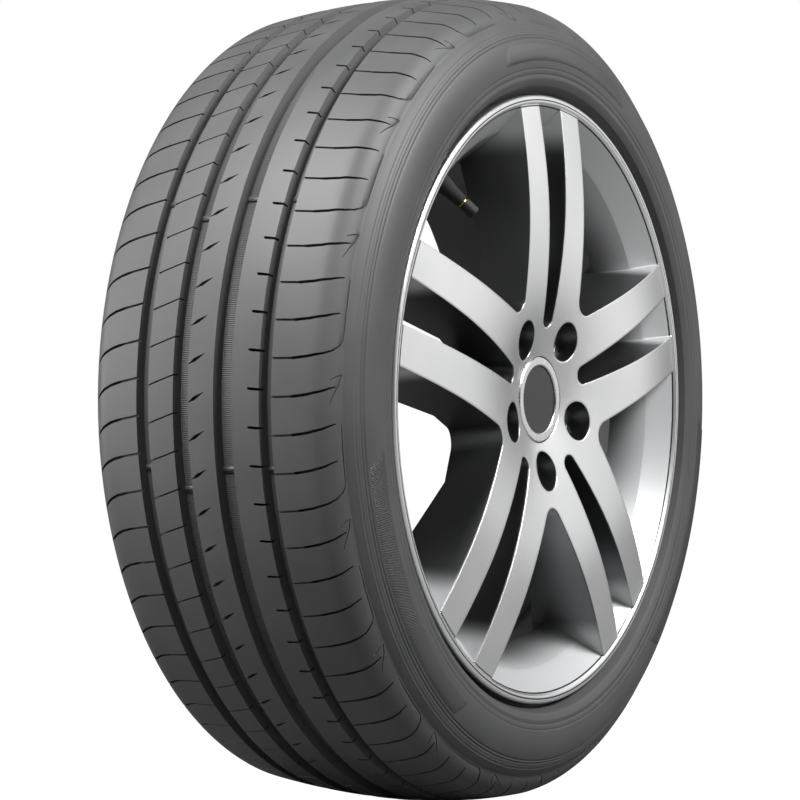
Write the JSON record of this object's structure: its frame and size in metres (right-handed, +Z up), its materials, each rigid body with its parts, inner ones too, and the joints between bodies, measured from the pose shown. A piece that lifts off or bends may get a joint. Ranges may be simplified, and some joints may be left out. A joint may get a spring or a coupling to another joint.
{
  "type": "car wheel with tyre",
  "caption": "Road tyre with ribbed tread mounted on a twin-spoke alloy wheel with a blank centre cap and a snap-in valve.",
  "frame": {"origin": "centre of the wheel, on the spin axis midway between the rim flanges", "axes": "+Y along the spin axis, pointing to the car side; +Z up; the street face is towards -Y"},
  "size_m": [0.6342, 0.225, 0.6342],
  "materials": {
    "tyre": "satin moulded rubber",
    "alloy": "silver with machined faces",
    "cap_silver": "silver paint",
    "cap_dark": "charcoal satin",
    "spring_steel": "plain wire",
    "valve_rubber": "moulded rubber",
    "brass": "turned",
    "black_plastic": "moulded"
  },
  "bodies": {
    "root": {"tyre": "tyre", "alloy_wheel": "alloy", "cap_body": "cap_silver", "cap_disc": "cap_dark", "cap_spring_ring": "spring_steel", "valve_stem": "valve_rubber", "valve_tube": "brass", "valve_core": "brass", "valve_cap": "black_plastic"}
  },
  "joints": []
}
